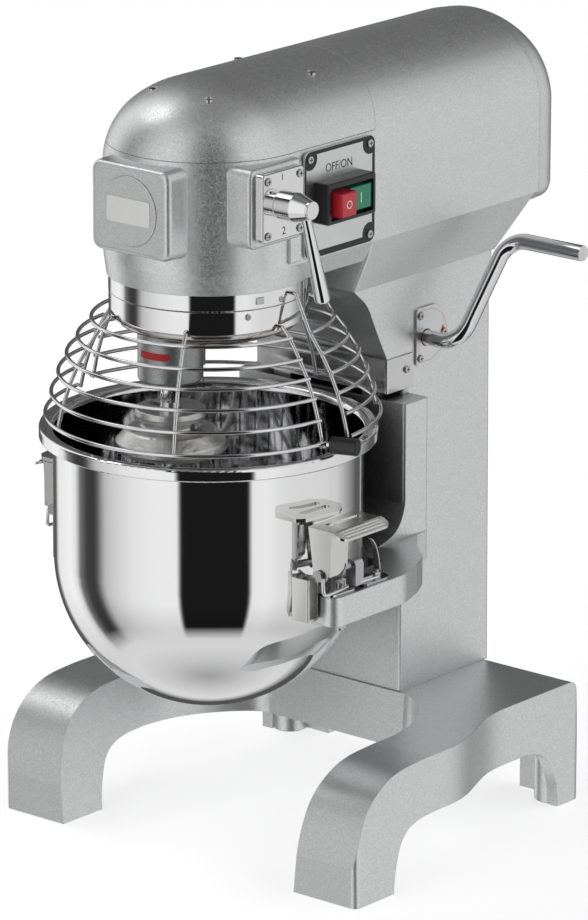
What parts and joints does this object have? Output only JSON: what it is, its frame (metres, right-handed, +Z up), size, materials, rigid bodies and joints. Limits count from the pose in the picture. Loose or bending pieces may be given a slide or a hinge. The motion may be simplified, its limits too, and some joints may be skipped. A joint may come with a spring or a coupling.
{
  "type": "commercial stand mixer",
  "caption": "Free-standing planetary mixer: four-foot base and column, overhanging gear head with speed lever and switch, wire guard, whisk, and a bowl on a crank-lifted yoke.",
  "frame": {"origin": "centre of the four floor-bolt holes, on the floor plane", "axes": "+Z up along the machine's height; the front of the machine faces -Y; the crank, switch and speed lever are on +X"},
  "size_m": [0.4934, 0.6337, 0.8465],
  "materials": {
    "painted_casting": "metallic silver-grey sparkle enamel, semi-gloss",
    "rubber": "matt black rubber",
    "zinc_steel": "zinc plated fasteners",
    "machined_steel": "ground steel",
    "stainless_sheet": "bright stainless sheet",
    "stainless_mirror": "mirror polished stainless steel",
    "chrome": "chrome plate",
    "stainless_wire": "bright stainless wire",
    "black_plastic": "moulded black plastic",
    "red_plastic": "red push button",
    "green_plastic": "green push button",
    "label_plate": "silver anodised plate",
    "cast_aluminium": "rough cast aluminium",
    "gear_steel": "cut steel, oiled",
    "motor_paint": "blue-grey motor enamel",
    "bearing_steel": "ground bearing steel"
  },
  "bodies": {
    "frame": {"base_casting": "painted_casting", "base_pads": "rubber", "base_bolts": "zinc_steel", "column_casting": "painted_casting", "slide_rails": "machined_steel", "slideway_cover": "stainless_sheet", "cover_screws": "zinc_steel", "cable_gland": "black_plastic", "head_housing": "painted_casting", "gearbox_top_cover": "painted_casting", "top_cover_screws": "zinc_steel", "rear_cover": "painted_casting", "rear_cover_screws": "zinc_steel", "hub_cap": "painted_casting", "badge_plate": "label_plate", "speed_plate": "chrome", "speed_plate_screws": "zinc_steel", "switch_plate": "label_plate", "switch_plate_screws": "zinc_steel", "switch_housing": "black_plastic", "planetary_collar": "stainless_mirror", "ring_gear": "gear_steel", "drive_belt": "rubber", "motor_body": "motor_paint", "shaft_bearings": "bearing_steel", "rear_guard": "stainless_wire", "crank_plate": "label_plate", "crank_plate_screws": "zinc_steel"},
    "speed_control": {"speed_selector": "chrome", "speed_lever": "chrome"},
    "stop_key": {"stop_button": "red_plastic"},
    "start_key": {"start_button": "green_plastic"},
    "guard_door": {"guard_ring": "stainless_mirror", "front_guard": "stainless_wire", "guard_knob_nut": "chrome", "guard_knob": "black_plastic"},
    "planet": {"planet_carrier": "painted_casting", "main_shaft": "machined_steel", "main_gear": "gear_steel"},
    "agitator": {"planet_pinion": "gear_steel", "agitator_shaft": "stainless_mirror", "agitator_pin": "machined_steel", "whisk_hub": "cast_aluminium", "whisk_wires": "stainless_wire"},
    "layshaft_rotor": {"layshaft": "machined_steel", "layshaft_pinion": "gear_steel", "layshaft_pulley": "cast_aluminium"},
    "motor_rotor": {"motor_shaft": "machined_steel", "motor_pulley": "cast_aluminium"},
    "lift_carriage": {"bowl_yoke": "painted_casting", "yoke_nuts": "zinc_steel", "bowl": "stainless_mirror", "bowl_ears": "stainless_sheet", "bowl_brackets": "stainless_sheet", "clamp_mounts": "machined_steel", "lift_bracket": "machined_steel"},
    "clamp_right": {"clamp_lever_right": "stainless_sheet"},
    "clamp_left": {"clamp_lever_left": "stainless_sheet"},
    "crank": {"crank_handle": "stainless_wire", "lift_arm": "machined_steel"}
  },
  "joints": [
    {"name": "speed_turn", "type": "hinge", "parent": "frame", "child": "speed_control", "pos_m": [0.16, -0.217, 0.741], "axis": [1, 0, 0], "range_deg": [-35, 35]},
    {"name": "stop_press", "type": "slide", "parent": "frame", "child": "stop_key", "axis": [-1, 0, 0], "range_m": [0, 0.003], "stiffness_N_per_m": 400, "springref_m": -0.001},
    {"name": "start_press", "type": "slide", "parent": "frame", "child": "start_key", "axis": [-1, 0, 0], "range_m": [0, 0.003], "stiffness_N_per_m": 400, "springref_m": -0.001},
    {"name": "guard_swing", "type": "hinge", "parent": "frame", "child": "guard_door", "pos_m": [0, -0.167, 0.6], "axis": [0, 0, 1], "range_deg": [-120, 0]},
    {"name": "carrier_spin", "type": "hinge", "parent": "frame", "child": "planet", "pos_m": [0, -0.167, 0.6], "axis": [0, 0, 1], "continuous": true},
    {"name": "agitator_spin", "type": "hinge", "parent": "planet", "child": "agitator", "pos_m": [-0.02828, -0.19528, 0.6], "axis": [0, 0, 1], "continuous": true},
    {"name": "layshaft_spin", "type": "hinge", "parent": "frame", "child": "layshaft_rotor", "pos_m": [0, -0.0645, 0.7], "axis": [0, 0, 1], "continuous": true},
    {"name": "motor_spin", "type": "hinge", "parent": "frame", "child": "motor_rotor", "pos_m": [0, 0.15, 0.7], "axis": [0, 0, 1], "continuous": true},
    {"name": "yoke_lift", "type": "slide", "parent": "frame", "child": "lift_carriage", "axis": [0, 0, 1], "range_m": [-0.11, 0]},
    {"name": "crank_turn", "type": "hinge", "parent": "frame", "child": "crank", "pos_m": [0, 0.08295, 0.5287], "axis": [1, 0, 0], "range_deg": [-90, 0]},
    {"name": "clamp_right_turn", "type": "hinge", "parent": "lift_carriage", "child": "clamp_right", "pos_m": [0.184, -0.16, 0.35], "axis": [0, 1, 0], "range_deg": [0, 80]},
    {"name": "clamp_left_turn", "type": "hinge", "parent": "lift_carriage", "child": "clamp_left", "pos_m": [-0.184, -0.16, 0.35], "axis": [0, -1, 0], "range_deg": [0, 80]}
  ],
  "couplings": [
    {"joint": "agitator_spin", "follows": "carrier_spin", "ratio": -3},
    {"joint": "layshaft_spin", "follows": "carrier_spin", "ratio": -2.7273},
    {"joint": "motor_spin", "follows": "carrier_spin", "ratio": -4.9091},
    {"joint": "crank_turn", "follows": "yoke_lift", "rad_per_m": 14.279}
  ]
}
